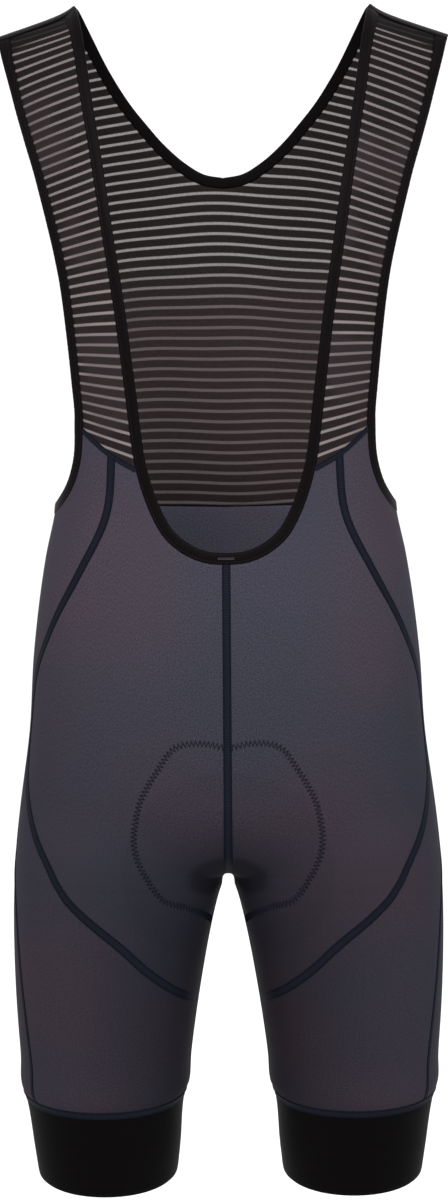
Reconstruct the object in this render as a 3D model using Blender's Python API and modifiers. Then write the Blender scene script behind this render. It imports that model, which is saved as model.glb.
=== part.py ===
# Cycling bib shorts, filled out as when they are worn, hollow and open at neck, arms and legs.
# The front faces -Y, the wearer's left is +X and +Z is up. The origin is the middle of the line
# across the two shoulders, where the wearer carries the garment.
#
# The form is a stack of rings of cloth. A place on it is a run, the cloth length in millimetres
# down from the shoulder line, and an angle round the body, 0 at the centre front, 90 at the side
# and 180 at the centre back. Below the crotch the same angle goes once round the leg.
import math

import bmesh
import bpy
import numpy as np

GARMENT = "cycling_bib_shorts"
MM = 0.001

KNIT_WALL = 1.2 * MM
MESH_WALL = 1.0 * MM
CUFF_WALL = 1.8 * MM
BINDING_WALL = 2.0 * MM
SEAM_GAP = 0.3 * MM
SHOULDER_GAP = 1.0 * MM  # the cloth bends at the shoulder band's seams, and its walls lean together
BINDING_WIDTH = 8.5 * MM
WELD = 0.00005

# Rings of the body: half breadth, and depth at the front, the side and the back
TORSO = (
    # run, drop, half, front, side, back
    (0, 0, 205, 12, 12, 12),
    (25, 5, 200, -12, 12, 37),
    (50, 19, 193, -33, 12, 58),
    (90, 52, 182, -56, 11, 82),
    (150, 108, 172, -80, 9, 103),
    (220, 176, 165, -97, 7, 113),
    (300, 256, 152, -100, 5, 104),
    (380, 336, 141, -95, 2, 90),
    (445, 401, 138, -92, 0, 86),
    (490, 446, 147, -94, 0, 95),
    (570, 526, 158, -97, 2, 113),
    (630, 586, 162, -97, 3, 120),
    (690, 646, 170, -96, 3, 114),
    (750, 706, 176, -95, 2, 100),
)
# Rings of the leg: where it starts and ends across, and its depth at the front, middle and back
LEG = (
    # run, drop, inner, outer, front, middle, back
    (680, 636, -5, 169, -94, 0, 105),
    (750, 706, -3, 175.5, -91, 0, 95),
    (776, 732, 4.5, 176.5, -90, -1, 90),
    (809, 765, 13, 176.5, -88, -3, 85),
    (860, 816, 24, 175, -84, -4, 77),
    (905, 861, 31.5, 172, -79, -4, 72),
    (924, 880, 34.5, 170.5, -77, -4, 70.5),
    (935, 891, 37, 168, -75, -4, 67.5),
    (979, 935, 41, 161.5, -68, -4, 61),
    (1001, 957, 44, 158, -64, -3, 58),
)
FORK_RUN, CROTCH_RUN, CUFF_RUN, HEM_RUN = 680, 750, 935, 1001
BODY_SQUARENESS, LEG_SQUARENESS = 0.12, 0.03
NECK_POINT, SHOULDER_SLOPE, SLOPE_REACH = 118, 0.33, 340
NECK_RISE, NECK_RISE_REACH = 5, 8  # the shoulder line turns up where it nears the neck
THIGH_FILL = 10  # how far the thighs stand out where the body turns into the legs
EASE_RUN, EASE_REACH = 16, 60  # the crease there is rounded over these runs
CROTCH_SPREAD, CROTCH_DROP, CROTCH_REACH = 6, 5, 25  # rounding of the fold between the legs
CROTCH_CLEARANCE, CLEARANCE_RUN = 0.6, 25  # half a wall, so that the two legs' walls clear there
HEM_DIP, HEM_DIP_RUN = 7.5, 860

# Edges and seams. A row with a count ends a stretch that is made of that many pieces.
FRONT_NECKLINE = (
    # run, angle, pieces
    (26, 32.5, 0),
    (56, 32.7, 0),
    (109, 32.8, 0),
    (157, 31.5, 0),
    (203, 29.8, 0),
    (281, 27.7, 0),
    (348, 26.4, 0),
    (382, 25.6, 0),
    (412, 24.2, 18),
    (429, 22.3, 0),
    (446, 19.4, 0),
    (461, 15.6, 0),
    (472, 10.5, 0),
    (478, 5.2, 0),
    (479.5, 0, 7),
)
BACK_NECKLINE = (
    # run, angle, pieces
    (12, 147.6, 0),
    (32, 148.0, 0),
    (60, 149.4, 0),
    (92, 152.7, 0),
    (115, 156.5, 6),
    (133, 160.6, 0),
    (151, 165.2, 0),
    (166, 170.2, 0),
    (176, 175.2, 0),
    (179, 180, 5),
)
ARMHOLE = (
    # run, angle, pieces
    (26, 61.3, 0),
    (56, 64.0, 0),
    (102, 65.6, 0),
    (142, 62.5, 0),
    (179, 58.0, 0),
    (215, 54.2, 0),
    (248, 52.2, 0),
    (300, 52.2, 0),
    (344, 53.2, 0),
    (382, 54.4, 18),
    (408, 58.0, 0),
    (426, 64.5, 0),
    (438, 74.0, 0),
    (444, 84.5, 0),
    (445, 95, 6),
    (443, 104, 1),
    (435, 111, 0),
    (415, 117, 0),
    (380, 121, 0),
    (300, 123.5, 0),
    (215, 121.5, 0),
    (170, 118.2, 0),
    (125, 115, 12),
    (90, 115, 0),
    (56, 116, 0),
    (25, 118.5, 0),
    (12, 119.6, 6),
)
CURVED_SEAM = (
    # run, angle, pieces
    (403, 37, 0),
    (457, 40.5, 0),
    (500, 49.5, 0),
    (542, 62, 0),
    (594, 76.5, 0),
    (626, 80, 0),
    (660, 77.5, 0),
    (688, 70, 0),
    (716, 64, 0),
    (757, 58, 18),
    (798, 42, 0),
    (818, 34, 0),
    (836, 24, 0),
    (850, 10, 0),
    (854, 0, 8),
)
SIDE_SEAM = (
    # run, angle, pieces
    (454, 95, 0),
    (520, 94, 0),
    (600, 95, 0),
    (680, 94, 0),
    (740, 86.5, 0),
    (775, 81.5, 0),
    (826, 77.5, 0),
    (880, 74, 0),
    (CUFF_RUN, 72, 30),
)
BAND_MIDDLE = (
    # run, angle at the neck, angle at the arm: the ridge of the shoulder, and just in front of it
    (0, 32.5, 59.8),
    (13, 32.5, 60.5),
)
WAIST_BACK = 456  # run of the centre back where the seat meets the back mesh
UPPER_INSEAM_PIECES, LOWER_INSEAM_PIECES = 5, 4  # they meet at the foot of the curved seam
CENTRE_FRONT_PIECES, CENTRE_BACK_PIECES = 13, 21
STRAP_COLUMNS, CUFF_ROWS = 3, 3

# Colours, as linear red, green and blue
KNIT_COLOUR = (0.060, 0.052, 0.072, 1)
SEAT_COLOUR = (0.040, 0.038, 0.050, 1)
MESH_COLOUR = (0.028, 0.021, 0.026, 1)
BINDING_COLOUR = (0.010, 0.008, 0.009, 1)
CUFF_COLOUR = (0.005, 0.004, 0.005, 1)


def smooth(rows, at):
    """The other columns of a table where its first column is `at`, on a curve through its rows."""
    rows = np.asarray(rows, float)
    key = rows[:, 0]
    at = np.clip(at, key[0], key[-1])
    step = np.diff(key)[:, None]
    slope = np.diff(rows, axis=0) / step
    inner = (slope[:-1] * step[1:] + slope[1:] * step[:-1]) / (step[:-1] + step[1:])
    lean = np.vstack([slope[:1], inner, slope[-1:]])
    i = np.clip(np.searchsorted(key, at, "right") - 1, 0, len(step) - 1)
    h = step[i]
    u = (at - key[i])[..., None] / h
    value = (
        (1 + 2 * u) * (1 - u) ** 2 * rows[i]
        + u * (1 - u) ** 2 * h * lean[i]
        + u * u * (3 - 2 * u) * rows[i + 1]
        + u * u * (u - 1) * h * lean[i + 1]
    )
    return np.moveaxis(value, -1, 0)[1:]


def eased(u):
    """0 to 1 with a level start and end."""
    u = np.clip(u, 0, 1)
    return u * u * (3 - 2 * u)


def body_ring(run, angle):
    """A place on the body's rings, and the height of the ring's side."""
    drop, half, front, side, back = smooth(TORSO, run)
    across, along = np.sin(angle), np.cos(angle)
    depth = np.where(along > 0, side - front, back - side)
    x = half * across * (1 + BODY_SQUARENESS * along**2)
    y = side - depth * along * (1 + BODY_SQUARENESS * across**2)
    beyond_neck = np.maximum(x - NECK_POINT, 0)
    fall = SHOULDER_SLOPE * beyond_neck + NECK_RISE * (1 - np.exp(-beyond_neck / NECK_RISE_REACH))
    return x, y, -drop - fall * eased(1 - run / SLOPE_REACH)


def leg_ring(run, angle):
    """A place on the leg's rings. The ring goes round once while the angle goes half round."""
    drop, inner, outer, front, middle, back = smooth(LEG, run)
    across, along = np.cos(2 * angle), np.sin(2 * angle)
    depth = np.where(along > 0, middle - front, back - middle)
    radius = (outer - inner) / 2
    x = inner + radius - radius * across * (1 + LEG_SQUARENESS * along**2)
    y = middle - depth * along * (1 + LEG_SQUARENESS * across**2)
    dip = HEM_DIP * np.clip((run - HEM_DIP_RUN) / (HEM_RUN - HEM_DIP_RUN), 0, 1)
    return x, y, -drop - dip * along


def forked(run, angle):
    """The body's rings turning into the leg's between the fork and the crotch."""
    body, leg = body_ring(run, angle), leg_ring(run, angle)
    fork = smooth(TORSO, FORK_RUN)[0]
    depth = smooth(TORSO, CROTCH_RUN)[0] - fork
    turn = np.clip((run - FORK_RUN) / (CROTCH_RUN - FORK_RUN), 0, 1) * math.pi / 2
    share = 1 - np.cos(turn)
    x = (1 - share) * body[0] + share * leg[0]
    fill = THIGH_FILL * 4 * share * (1 - share)
    y = (1 - share) * body[1] + share * leg[1] - fill * np.sin(2 * angle)
    side_share = np.sin(angle) ** 2
    middle = -fork - depth * np.sin(turn)
    z = middle * (1 - side_share) + body[2] * side_share
    return x, y, np.where(run <= FORK_RUN, body[2], np.where(run >= CROTCH_RUN, leg[2], z))


def crotch_line():
    """Depth and height of the line that runs under the crotch, from front to back."""
    runs = np.linspace(FORK_RUN, CROTCH_RUN, 31)
    front = forked(runs, np.zeros(31))
    back = forked(runs[::-1], np.full(31, math.pi))
    return np.append(front[1], back[1]), np.append(front[2], back[2])


CROTCH_Y, CROTCH_Z = crotch_line()


def form(run, angle):
    """Places on the left half of the form, in metres."""
    run, angle = np.broadcast_arrays(np.asarray(run, float), np.radians(angle))
    near = eased(1 - np.abs(run - CROTCH_RUN) / EASE_REACH) * eased(2 * np.sin(angle))
    above, here, below = (forked(run + step * EASE_RUN * near, angle) for step in (-1, 0, 1))
    x, y, z = (np.stack(above) + 2 * np.stack(here) + np.stack(below)) / 4
    fall = np.maximum(np.interp(y, CROTCH_Y, CROTCH_Z) - z, 0) * (run > FORK_RUN)
    spread = CROTCH_SPREAD * np.sqrt(1 - np.exp(-fall / CROTCH_DROP))
    x = np.maximum(x, 0) + spread * np.exp(-((x / CROTCH_REACH) ** 2))
    x = x + CROTCH_CLEARANCE * eased((run - CROTCH_RUN) / CLEARANCE_RUN + 1)
    return np.stack([x, y, z], axis=-1) * MM


def places(stations):
    """The form's places at stations, which hold a run and an angle."""
    return form(stations[..., 0], stations[..., 1])


def even(route, pieces):
    """Stations at even lengths of cloth along a close route."""
    length = np.linalg.norm(np.diff(places(route), axis=0), axis=1)
    length = np.append(0, np.cumsum(length))
    at = np.linspace(0, length[-1], pieces + 1)
    return np.stack([np.interp(at, length, column) for column in route.T], axis=-1)


def edge(rows):
    """Stations along a smooth edge, as a list of its stretches."""
    rows = np.asarray(rows, float)
    points = places(rows[:, :2])
    key = np.append(0, np.cumsum(np.linalg.norm(np.diff(points, axis=0), axis=1)))
    table = np.column_stack([key, rows[:, :2]])
    ends = [0] + list(np.nonzero(rows[:, 2])[0])
    stretches = []
    for start, end in zip(ends, ends[1:]):
        close = smooth(table, np.linspace(key[start], key[end], 161)).T
        stretches.append(even(close, int(rows[end, 2])))
    return stretches


def joined(*stretches):
    """Stretches end to end as one run of stations."""
    return np.concatenate([stretches[0]] + [stretch[1:] for stretch in stretches[1:]])


def straight(start, end, pieces):
    """Even stations from one station to another."""
    share = np.linspace(0, 1, 81)[:, None]
    return even(np.asarray(start) * (1 - share) + np.asarray(end) * share, pieces)


def moved(stations, distance):
    """Stations moved over the form, to the left of their travel seen from outside."""
    run, angle = stations[:, 0], stations[:, 1]
    at = form(run, angle)
    turn = np.where(angle < 90, 0.25, -0.25)
    down = (form(run + 0.5, angle) - at) / 0.5
    around = (form(run, angle + turn) - at) / turn[:, None]
    outward = np.cross(down, around)
    travel = np.gradient(at, axis=0)
    aside = np.cross(outward, travel)
    aside *= distance / np.linalg.norm(aside, axis=1, keepdims=True)
    result = stations.copy()
    for station, *axes, step in zip(result, down, around, aside):
        station += np.linalg.lstsq(np.stack(axes, axis=1), step, rcond=None)[0]
    return result


def patch(top, right, bottom, left, hold=1):
    """A net of stations between four edges; top and bottom go round, left and right go down.

    The higher hold is, the sooner the rows inside give up the shape of the top and the bottom.
    """
    u = np.linspace(0, 1, len(top))[None, :, None]
    v = np.linspace(0, 1, len(left))[:, None, None]
    rows = (1 - u) * left[:, None] + u * right[:, None]
    top_bow = top - (1 - u) * top[0] - u * top[-1]
    bottom_bow = bottom - (1 - u) * bottom[0] - u * bottom[-1]
    return rows + (1 - v) ** hold * top_bow + v**hold * bottom_bow


def drawn_back(edge_row, next_row, gap):
    """An edge of a net drawn back by half a seam gap, square to the edge."""
    across = next_row - edge_row
    across /= np.linalg.norm(across, axis=1, keepdims=True)
    along = np.gradient(edge_row, axis=0)
    along /= np.linalg.norm(along, axis=1, keepdims=True)
    slant = np.linalg.norm(np.cross(across, along), axis=1, keepdims=True)
    return edge_row + across * gap / 2 / np.maximum(slant, 0.4)


def net_points(stations, seams="", gap=SEAM_GAP):
    """A net's places, with the sides named in seams drawn back for the gap."""
    points = places(stations)
    if "top" in seams:
        points[0] = drawn_back(points[0], points[1], gap)
    if "bottom" in seams:
        points[-1] = drawn_back(points[-1], points[-2], gap)
    if "left" in seams:
        points[:, 0] = drawn_back(points[:, 0], points[:, 1], gap)
    if "right" in seams:
        points[:, -1] = drawn_back(points[:, -1], points[:, -2], gap)
    return points


def add_net(cloth, points):
    """One net of faces in a bmesh, from a grid that is laid on the places."""
    rows, columns = points.shape[0] - 1, points.shape[1] - 1
    grid = bmesh.ops.create_grid(cloth, x_segments=columns, y_segments=rows, size=1)
    for vert in grid["verts"]:
        column = round((vert.co.x + 1) / 2 * columns)
        row = round((1 - vert.co.y) / 2 * rows)
        vert.co = points[row, column]


def piece(name, nets, wall, material, joined_half=False, opposite=False):
    """A piece of cloth with a wall. A joined half is mirrored onto the other side of the body."""
    cloth = bmesh.new()
    for points in nets:
        add_net(cloth, points)
    bmesh.ops.remove_doubles(cloth, verts=cloth.verts, dist=WELD)
    if opposite:
        for vert in cloth.verts:
            vert.co.x = -vert.co.x
        bmesh.ops.reverse_faces(cloth, faces=cloth.faces)
    mesh = bpy.data.meshes.new(name)
    cloth.to_mesh(mesh)
    cloth.free()
    mesh.materials.append(material)
    mesh.shade_smooth()
    result = bpy.data.objects.new(name, mesh)
    bpy.data.collections[GARMENT].objects.link(result)
    if joined_half:
        mirror = result.modifiers.new("other half", "MIRROR")
        mirror.merge_threshold = WELD
    shell = result.modifiers.new("wall", "SOLIDIFY")
    shell.thickness = wall
    shell.offset = 0
    shell.use_even_offset = True
    return result


def pair(name, nets, wall, material):
    """The same piece for the wearer's left and right."""
    piece(name + "_left", nets, wall, material)
    piece(name + "_right", nets, wall, material, opposite=True)


def fabric(name, colour, roughness):
    """A cloth's material."""
    result = bpy.data.materials.new(name)
    result.use_nodes = True
    shader = result.node_tree.nodes["Principled BSDF"]
    shader.inputs["Base Color"].default_value = colour
    shader.inputs["Roughness"].default_value = roughness
    shader.inputs["Metallic"].default_value = 0
    result.diffuse_color = colour
    return result


def inward(stations, distance):
    """Stations moved across, whose ends stay on the shoulder or on the centre of the body."""
    result = moved(stations, distance)
    for end in (0, -1):
        kept = 1 if stations[end, 1] in (0, 180) else 0
        result[end, kept] = stations[end, kept]
    return result


def lay_out():
    """Every edge and seam of the left half, as stations."""
    e = {}
    neck_strap, neck_dip = edge(FRONT_NECKLINE)
    back_strap, back_dip = edge(BACK_NECKLINE)
    arm = edge(ARMHOLE)
    e["neck_edge"] = joined(neck_strap, neck_dip)
    e["back_neck_edge"] = joined(back_strap, back_dip)
    e["arm_edge"] = joined(*arm)

    # Where the panels meet the bindings, cut at the seams that end there
    reach = BINDING_WIDTH + SEAM_GAP
    neck = inward(e["neck_edge"], reach)
    e["neck_strap"], e["neck_dip"] = cut(neck, [len(neck_strap) - 1])
    back = inward(e["back_neck_edge"], -reach)
    e["back_strap"], e["back_dip"] = cut(back, [len(back_strap) - 1])
    marks = np.cumsum([len(stretch) - 1 for stretch in arm[:-1]])
    names = ("arm_front", "arm_hip", "arm_turn", "arm_back", "arm_shoulder")
    e.update(zip(names, cut(inward(e["arm_edge"], -reach), marks)))

    e["curve_upper"], e["curve_lower"] = edge(CURVED_SEAM)
    e["side"] = edge(SIDE_SEAM)[0]
    e["side"][0] = e["arm_hip"][-1]
    e["diagonal_inner"] = straight(e["neck_strap"][-1], e["curve_upper"][0], 1)
    e["diagonal_outer"] = straight(e["curve_upper"][0], e["arm_front"][-1], STRAP_COLUMNS - 1)
    foot = e["curve_lower"][-1]
    e["inseam_upper"] = straight((CROTCH_RUN, 0), foot, UPPER_INSEAM_PIECES)
    e["inseam_lower"] = straight(foot, (CUFF_RUN, 0), LOWER_INSEAM_PIECES)
    e["centre_front"] = straight(e["neck_dip"][-1], (CROTCH_RUN, 0), CENTRE_FRONT_PIECES)
    waist = (WAIST_BACK, 180)
    e["centre_back"] = straight(waist, (CROTCH_RUN, 180), CENTRE_BACK_PIECES)
    mesh_columns = STRAP_COLUMNS + len(e["back_dip"]) - 1
    e["waist_back"] = straight(e["arm_turn"][-1], waist, mesh_columns)
    front_columns = STRAP_COLUMNS - 1 + len(e["arm_hip"]) - 1
    e["cuff_front"] = straight((CUFF_RUN, 0), e["side"][-1], front_columns)
    back_columns = mesh_columns + len(e["arm_turn"]) - 1
    e["cuff_back"] = straight(e["side"][-1], (CUFF_RUN, 180), back_columns)
    return e


def cut(stations, marks):
    """Stretches of stations between marks, each with both of its ends."""
    bounds = [0, *marks, len(stations) - 1]
    return [stations[start : end + 1] for start, end in zip(bounds, bounds[1:])]


def make_shorts(e, knit, seat):
    """Front, side and back panels of each leg."""
    front = patch(
        top=joined(e["neck_dip"][::-1], e["diagonal_inner"]),
        right=e["curve_upper"],
        bottom=e["curve_lower"][::-1],
        left=joined(e["centre_front"], e["inseam_upper"]),
    )
    side = patch(
        top=joined(e["diagonal_outer"], e["arm_hip"]),
        right=e["side"],
        bottom=e["cuff_front"],
        left=joined(e["curve_upper"], e["curve_lower"], e["inseam_lower"]),
        hold=5,
    )
    inseam_back = joined(e["inseam_upper"], e["inseam_lower"]) + (0, 180)
    back = patch(
        top=joined(e["arm_turn"], e["waist_back"]),
        right=joined(e["centre_back"], inseam_back),
        bottom=e["cuff_back"],
        left=e["side"],
    )
    pair("front_panel", [net_points(front, "top left right bottom")], KNIT_WALL, knit)
    pair("side_panel", [net_points(side, "top left right bottom")], KNIT_WALL, knit)
    pair("back_panel", [net_points(back, "top left right bottom")], KNIT_WALL, seat)


def make_mesh_top(e, mesh):
    """A mesh strap over each side of the chest, and the back with its two straps in one piece."""
    strap = patch(
        top=straight(e["neck_strap"][0], e["arm_front"][0], STRAP_COLUMNS),
        right=e["arm_front"],
        bottom=joined(e["diagonal_inner"], e["diagonal_outer"]),
        left=e["neck_strap"],
    )
    pair("front_strap", [net_points(strap, "top bottom")], MESH_WALL, mesh)
    strap_foot = straight(e["arm_shoulder"][0], e["back_strap"][-1], STRAP_COLUMNS)
    back_strap = patch(
        top=straight(e["arm_shoulder"][-1], e["back_strap"][0], STRAP_COLUMNS),
        right=e["back_strap"],
        bottom=strap_foot,
        left=e["arm_shoulder"][::-1],
    )
    back = patch(
        top=joined(strap_foot, e["back_dip"]),
        right=straight(e["back_dip"][-1], (WAIST_BACK, 180), len(e["arm_back"]) - 1),
        bottom=e["waist_back"],
        left=e["arm_back"][::-1],
    )
    nets = [net_points(back_strap, "top"), net_points(back, "bottom")]
    piece("back_mesh", nets, MESH_WALL, mesh, joined_half=True)


def make_cuffs(e, elastic):
    """A closed elastic ring at the foot of each leg."""
    ring = joined(e["cuff_front"], e["cuff_back"])
    down = np.linspace(0, HEM_RUN - CUFF_RUN, CUFF_ROWS + 1)
    rows = np.stack([ring + (step, 0) for step in down])
    pair("cuff", [net_points(rows, "top")], CUFF_WALL, elastic)


def binding(free_edge, width, seams):
    """The net of a binding: a strip between a free edge and the panels."""
    rows = np.stack([free_edge, inward(free_edge, width)])
    return net_points(rows if width < 0 else rows[::-1], seams)


def make_bindings(e, bound):
    """One length round the front of the neck, one round its back, and one round each arm."""
    front = binding(e["neck_edge"], BINDING_WIDTH, "left")
    back = binding(e["back_neck_edge"], -BINDING_WIDTH, "left")
    arm = binding(e["arm_edge"], -BINDING_WIDTH, "left right")
    piece("front_neck_binding", [front], BINDING_WALL, bound, joined_half=True)
    piece("back_neck_binding", [back], BINDING_WALL, bound, joined_half=True)
    pair("armhole_binding", [arm], BINDING_WALL, bound)


def band_edge(neck, neck_seam, arm_seam, arm):
    """Stations across the end of a strap and of the two bindings along it."""
    strap = straight(neck_seam, arm_seam, STRAP_COLUMNS)
    return np.stack([neck, *strap, arm])


def make_shoulder_bands(e, bound):
    """The band over each shoulder seam, from its back edge over the ridge to its front edge."""
    back = band_edge(
        e["back_neck_edge"][0], e["back_strap"][0], e["arm_shoulder"][-1], e["arm_edge"][-1]
    )
    front = band_edge(e["neck_edge"][0], e["neck_strap"][0], e["arm_front"][0], e["arm_edge"][0])
    columns = len(front) - 1
    middle = [straight((run, neck), (run, arm), columns) for run, neck, arm in BAND_MIDDLE]
    band = net_points(np.stack([back, *middle, front]), "top bottom", SHOULDER_GAP)
    pair("shoulder_band", [band], BINDING_WALL, bound)


def main():
    for old in list(bpy.data.objects):
        bpy.data.objects.remove(old, do_unlink=True)
    collection = bpy.data.collections.new(GARMENT)
    bpy.context.scene.collection.children.link(collection)

    knit = fabric("lycra_knit", KNIT_COLOUR, 0.7)
    seat = fabric("seat_knit", SEAT_COLOUR, 0.7)
    mesh = fabric("striped_mesh", MESH_COLOUR, 0.8)
    bound = fabric("elastic_binding", BINDING_COLOUR, 0.75)
    elastic = fabric("gripper_elastic", CUFF_COLOUR, 0.85)

    edges = lay_out()
    make_shorts(edges, knit, seat)
    make_mesh_top(edges, mesh)
    make_cuffs(edges, elastic)
    make_bindings(edges, bound)
    make_shoulder_bands(edges, bound)


main()
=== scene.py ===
# Cycling bib shorts, filled out as worn. The front faces -Y and the wearer's left is +X.
# Lengths in the dictionaries are in millimetres and angles in degrees, but the studio and
# the flat sizes of cloth are in metres.
import math
from functools import partial

import bmesh
import bpy
import numpy as np
from mathutils import Matrix, Vector


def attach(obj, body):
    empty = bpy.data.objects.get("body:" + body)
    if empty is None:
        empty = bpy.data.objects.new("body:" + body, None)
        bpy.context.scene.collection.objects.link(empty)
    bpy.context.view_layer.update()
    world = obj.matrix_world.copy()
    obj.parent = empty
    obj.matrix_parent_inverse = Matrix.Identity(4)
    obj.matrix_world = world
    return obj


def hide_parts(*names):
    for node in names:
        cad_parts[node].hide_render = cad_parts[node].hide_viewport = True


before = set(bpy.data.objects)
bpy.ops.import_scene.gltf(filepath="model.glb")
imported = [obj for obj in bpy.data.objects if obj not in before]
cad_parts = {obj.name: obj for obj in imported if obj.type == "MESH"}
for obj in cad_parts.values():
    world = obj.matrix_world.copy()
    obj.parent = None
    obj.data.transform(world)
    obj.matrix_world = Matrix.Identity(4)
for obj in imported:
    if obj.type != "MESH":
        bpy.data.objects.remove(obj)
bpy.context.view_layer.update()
mm = 0.001

# camera, floor and light

view = {
    "aim": (-0.0019, 0, -0.482),
    "distance": 2.5,
    "elevation": 6,
    "roll": -0.42,  # the garment leans a little to its right
    "lens": 91.5,
    "sensor": 36,
}


def newObject(name, data):
    made = bpy.data.objects.new(name, data)
    bpy.context.scene.collection.objects.link(made)
    return made


def addCamera():
    tilt = math.radians(90 - view["elevation"])
    turn = Matrix.Rotation(tilt, 3, "X") @ Matrix.Rotation(math.radians(view["roll"]), 3, "Z")
    data = bpy.data.cameras.new("camera")
    data.sensor_fit = "VERTICAL"
    data.sensor_height = view["sensor"]
    data.lens = view["lens"]
    camera = newObject("camera", data)
    camera.rotation_euler = turn.to_euler()
    back = turn.col[2] * view["distance"]
    camera.location = [a + b for a, b in zip(view["aim"], back)]
    bpy.context.scene.camera = camera


studio = {
    "skyBehind": 1.1,  # white behind the garment and at its sides
    "skyFront": 0.35,  # an unlit room in front of it
    "skyAbove": 1.2,
    # the part of the way round over which one turns into the next
    "frontToBehind": (-0.8, -0.05),
    "levelToAbove": (0.2, 0.5),
    "floorHeight": -1.42,  # where the wearer's feet would be
    "floorSize": 60,
    "lampAim": -0.45,
    # name, place, size, power, colour: each lamp looks at the waist
    "lamps": (
        ("key", (-0.35, -1.05, 0.3), 0.6, 14, (1.0, 0.98, 0.96)),
        ("fill", (0.5, -1.05, 0.25), 0.7, 11, (0.97, 0.98, 1.0)),
        ("rim", (0.2, 2.2, 1.4), 2.0, 8, (1.0, 1.0, 1.0)),
    ),
}


def addStudio():
    world = bpy.data.worlds.new("studio sky")
    world.use_nodes = True
    tree = world.node_tree
    add = partial(addNode, tree)
    way = add("TexCoord").outputs["Generated"]
    axes = add("SeparateXYZ", (way,))
    tones = studio["skyFront"], studio["skyBehind"]
    turning = (axes.outputs["Y"], *studio["frontToBehind"], *tones)
    front = add("MapRange", turning, **smooth)
    high = add("MapRange", (axes.outputs["Z"], *studio["levelToAbove"]))
    strength = add("Mix", {0: high, 2: front, 3: studio["skyAbove"]})
    wire(tree.nodes["Background"], {"Color": (1, 1, 1, 1), "Strength": strength})
    bpy.context.scene.world = world
    bpy.context.scene.view_settings.view_transform = "Standard"
    for name, place, size, power, colour in studio["lamps"]:
        data = bpy.data.lights.new(name, "AREA")
        data.size = size
        data.energy = power
        data.color = colour
        lamp = newObject(name, data)
        lamp.location = place
        towards = Vector((0, 0, studio["lampAim"])) - lamp.location
        lamp.rotation_euler = towards.to_track_quat("-Z", "Y").to_euler()
    shape = bmesh.new()
    bmesh.ops.create_grid(shape, x_segments=1, y_segments=1, size=studio["floorSize"] / 2)
    bmesh.ops.translate(shape, verts=shape.verts, vec=(0, 0, studio["floorHeight"]))
    mesh = bpy.data.meshes.new("floor")
    shape.to_mesh(mesh)
    shape.free()
    mesh.materials.append(paintedFloor())
    newObject("floor", mesh)


# materials

# settings that many nodes share
smooth = {"interpolation_type": "SMOOTHSTEP"}
times = {"operation": "MULTIPLY"}
scaled = {"operation": "SCALE"}
coloured = {"data_type": "RGBA"}
wavePeriod = 0.314  # what a wave texture of scale 1 repeats over


def linear(code):
    # sRGB hex to linear colour
    parts = [int(code[i : i + 2], 16) / 255 for i in (1, 3, 5)]
    return (*[c / 12.92 if c <= 0.04045 else ((c + 0.055) / 1.055) ** 2.4 for c in parts], 1)


def wire(node, sockets):
    # sockets by name or number, or a tuple of them in order; a node gives its first output
    named = sockets if isinstance(sockets, dict) else dict(enumerate(sockets))
    for name, value in named.items():
        if isinstance(value, bpy.types.Node):
            value = value.outputs[0]
        if isinstance(value, bpy.types.NodeSocket):
            node.id_data.links.new(value, node.inputs[name])
        else:
            node.inputs[name].default_value = value


def addNode(tree, kind, sockets=(), **settings):
    node = tree.nodes.new("ShaderNode" + kind)
    for name, value in settings.items():
        setattr(node, name, value)
    wire(node, sockets)
    return node


def newMaterial(name):
    # a material, a way to add nodes to its tree, and its shader
    material = bpy.data.materials.new(name)
    material.use_nodes = True
    tree = material.node_tree
    return material, partial(addNode, tree), tree.nodes["Principled BSDF"]


def paintedFloor():
    # matt white studio paint: a pale ground with no gloss
    material, add, shader = newMaterial("matt white studio paint")
    place = add("TexCoord").outputs["Object"]
    cloud = add("TexNoise", {"Vector": place, "Scale": 0.7, "Detail": 2})
    tone = add("Mix", {0: cloud, 6: linear("#f8f8f8"), 7: linear("#fcfcfc")}, **coloured)
    wire(shader, {"Base Color": tone.outputs[2], "Roughness": 0.9})
    return material


knitLook = {
    "slate": "#2e2e37",
    "plum": "#352e36",
    "patchSize": 150,  # soft drifts of dye across the cloth
    "patchRange": (0.36, 0.64),
    "fleckSize": 1.2,  # heathered yarn, drawn coarse so that it shows
    "fleckRange": (0.3, 0.7),
    "fleckTone": (0.68, 1.36),
    # loops across and along, and how wavy they lie; the real ones are 0.4 mm apart
    "loops": ((1.2, "X"), (0.9, "Y")),
    "loopWave": 0.4,
    "bump": {"Strength": 0.25, "Distance": 0.15 * mm},
    "roughness": (0.66, 0.54),  # between the loops, and on them
    "surface": {"Specular IOR Level": 0.01, "Sheen Weight": 0.004, "Sheen Roughness": 0.4},
    # painted shade: the colour is darker toward the hem and between the legs: heights, then how
    # dark
    "paleAbove": -440,
    "darkBelow": -700,
    "hemShadeTone": 0.76,
    "innerShadeTone": 0.5,
    "innerReach": (165, 20),  # from the centre of the body, below the seat
    "innerHeights": (-590, -780),
    # the colour is a little darker over the seat pad, and a painted shade darkens the hollow at
    # the crotch:
    # for each, its height, reach across and up, where it fades out, and how dark it is
    "pad": (-690, 88, 84, 0.94, 1.0, 0.93),
    "fold": (-701, 34, 20, 0.78, 1.08, 0.62),
}


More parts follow.
